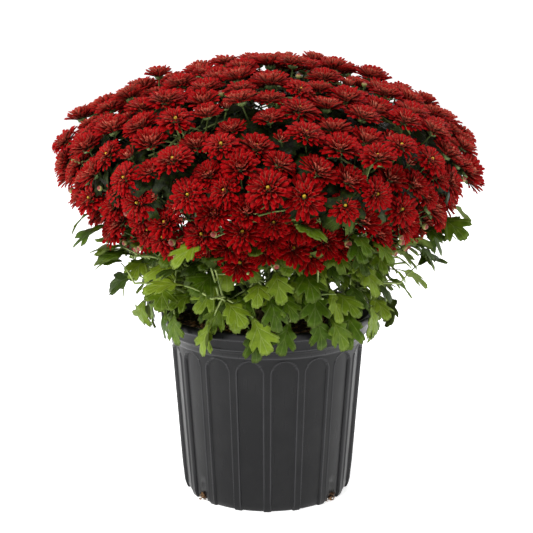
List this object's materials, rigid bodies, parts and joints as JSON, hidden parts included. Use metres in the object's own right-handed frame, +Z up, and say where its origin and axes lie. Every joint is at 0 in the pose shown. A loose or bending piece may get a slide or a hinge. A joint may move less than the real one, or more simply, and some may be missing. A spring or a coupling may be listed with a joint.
{
  "type": "potted chrysanthemum",
  "caption": "Potted garden chrysanthemum: a full dome of dark red double blooms over lobed green leaves, in a round black fluted nursery pot.",
  "frame": {"origin": "centre of the pot's flat underside", "axes": "+Z up through the plant, -Y towards the side that the picture shows"},
  "size_m": [0.4417, 0.4471, 0.4664],
  "materials": {
    "black_plastic": "satin black moulded nursery plastic",
    "potting_mix": "loose dark peat and bark",
    "woody_crown": "rough brown woody stem base",
    "red_petals": "soft matte dark red petals",
    "green_leaves": "semi-matte mid green leaves and pale stems"
  },
  "bodies": {
    "root": {"pot": "black_plastic", "soil": "potting_mix", "crown": "woody_crown", "bloom_spray_01": "red_petals", "bloom_spray_02": "red_petals", "bloom_spray_03": "red_petals", "bloom_spray_04": "red_petals", "bloom_spray_05": "red_petals", "bloom_spray_06": "red_petals", "bloom_spray_07": "red_petals", "bloom_spray_08": "red_petals", "bloom_spray_09": "red_petals", "bloom_spray_10": "red_petals", "bloom_spray_11": "red_petals", "bloom_spray_12": "red_petals", "bloom_spray_13": "red_petals", "bloom_spray_14": "red_petals", "bloom_spray_15": "red_petals", "bloom_spray_16": "red_petals", "bloom_spray_17": "red_petals", "bloom_spray_18": "red_petals", "bloom_spray_19": "red_petals", "bloom_spray_20": "red_petals", "bloom_spray_21": "red_petals", "bloom_spray_22": "red_petals", "bloom_spray_23": "red_petals", "bloom_spray_24": "red_petals", "leafy_stem_01": "green_leaves", "leafy_stem_02": "green_leaves", "leafy_stem_03": "green_leaves", "leafy_stem_04": "green_leaves", "leafy_stem_05": "green_leaves", "leafy_stem_06": "green_leaves", "leafy_stem_07": "green_leaves", "leafy_stem_08": "green_leaves", "leafy_stem_09": "green_leaves", "leafy_stem_10": "green_leaves", "leafy_stem_11": "green_leaves", "leafy_stem_12": "green_leaves", "leafy_stem_13": "green_leaves", "leafy_stem_14": "green_leaves", "leafy_stem_15": "green_leaves", "leafy_stem_16": "green_leaves", "leafy_stem_17": "green_leaves", "leafy_stem_18": "green_leaves", "leafy_stem_19": "green_leaves", "leafy_stem_20": "green_leaves", "leafy_stem_21": "green_leaves", "leafy_stem_22": "green_leaves", "leafy_stem_23": "green_leaves", "leafy_stem_24": "green_leaves", "low_shoot_01": "green_leaves", "low_shoot_02": "green_leaves", "low_shoot_03": "green_leaves", "low_shoot_04": "green_leaves", "low_shoot_05": "green_leaves", "low_shoot_06": "green_leaves", "low_shoot_07": "green_leaves", "low_shoot_08": "green_leaves", "low_shoot_09": "green_leaves"}
  },
  "joints": []
}
